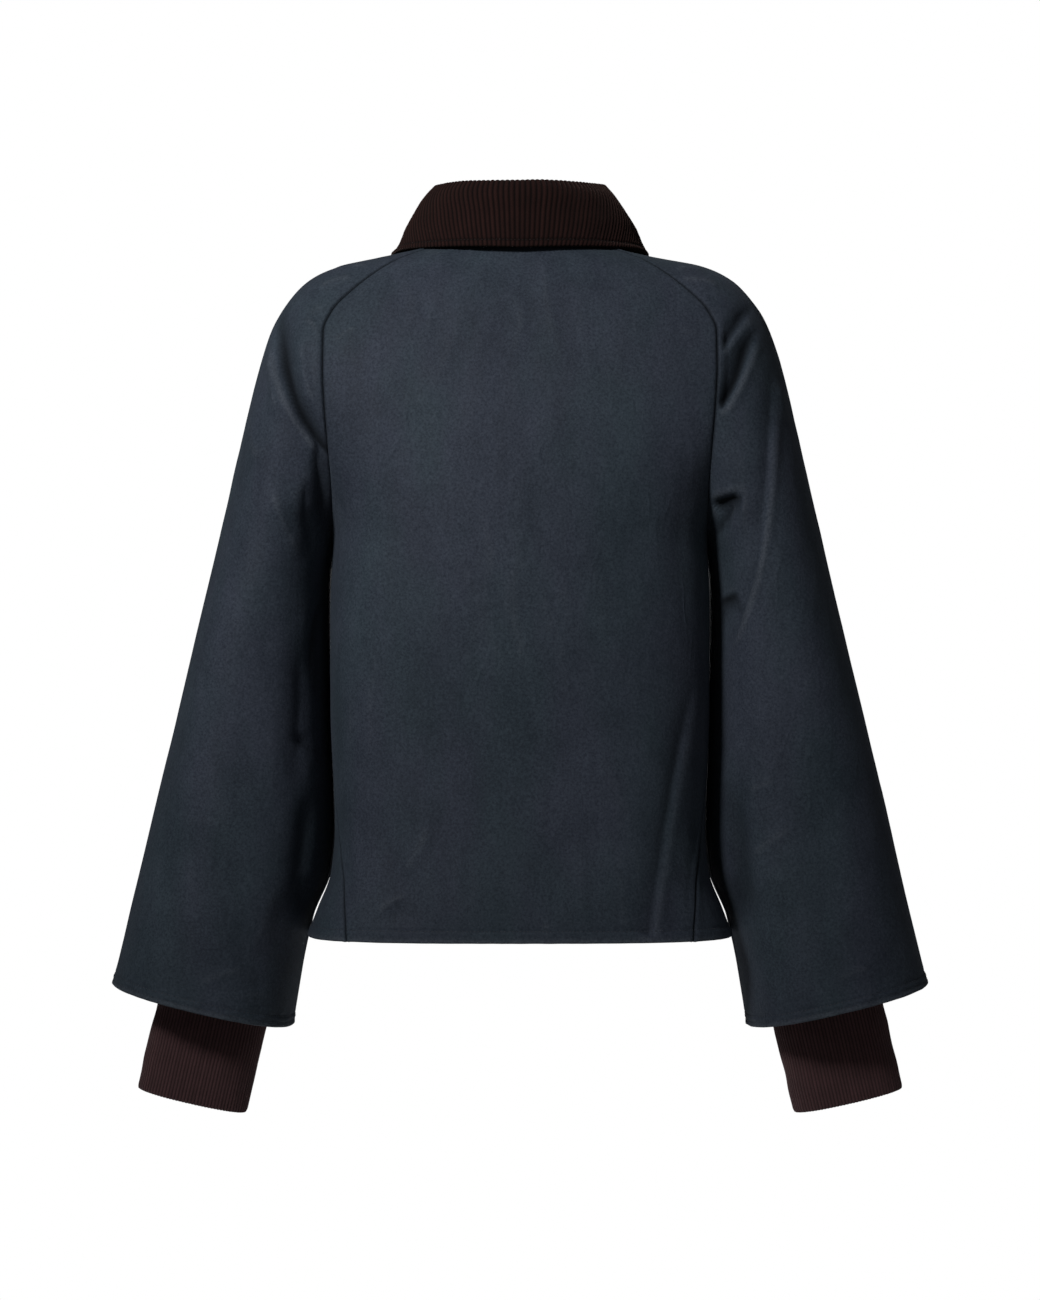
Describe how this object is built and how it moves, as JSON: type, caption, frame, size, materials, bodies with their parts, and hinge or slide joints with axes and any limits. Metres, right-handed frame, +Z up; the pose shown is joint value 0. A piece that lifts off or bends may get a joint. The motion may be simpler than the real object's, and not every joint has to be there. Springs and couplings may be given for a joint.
{
  "type": "waxed cotton jacket",
  "caption": "Short waxed cotton jacket with raglan sleeves, a folded corduroy collar, rib storm cuffs and a front zip, filled out as worn.",
  "frame": {"origin": "between the shoulders at the base of the neck, where the wearer holds the jacket up", "axes": "+Z up, -Y out of the jacket's front, +Y out of its back, +X to the wearer's left"},
  "size_m": [0.6672, 0.234, 0.7614],
  "materials": {
    "waxed_navy": "waxed cotton, soft low sheen",
    "corduroy_brown": "corduroy, matte pile",
    "rib_brown": "rib knit, matte",
    "skirt_lining": "plain woven lining, matte",
    "zip_tape": "woven tape, matte",
    "antique_brass": "satin, aged"
  },
  "bodies": {
    "jacket": {"back": "waxed_navy", "front_left": "waxed_navy", "front_right": "waxed_navy", "sleeve_left": "waxed_navy", "sleeve_right": "waxed_navy", "collar": "corduroy_brown", "cuff_left": "rib_brown", "cuff_right": "rib_brown", "cuff_skirt_left": "skirt_lining", "cuff_skirt_right": "skirt_lining", "zip_tape_left": "zip_tape", "zip_tape_right": "zip_tape", "zip_slider": "antique_brass"},
    "pull_tab": {"zip_pull": "antique_brass"}
  },
  "joints": [
    {"name": "pull_tab_hinge", "type": "hinge", "parent": "jacket", "child": "pull_tab", "pos_m": [0, -0.0957, -0.09366], "axis": [-1, 0, 0], "range_deg": [0, 110]}
  ]
}
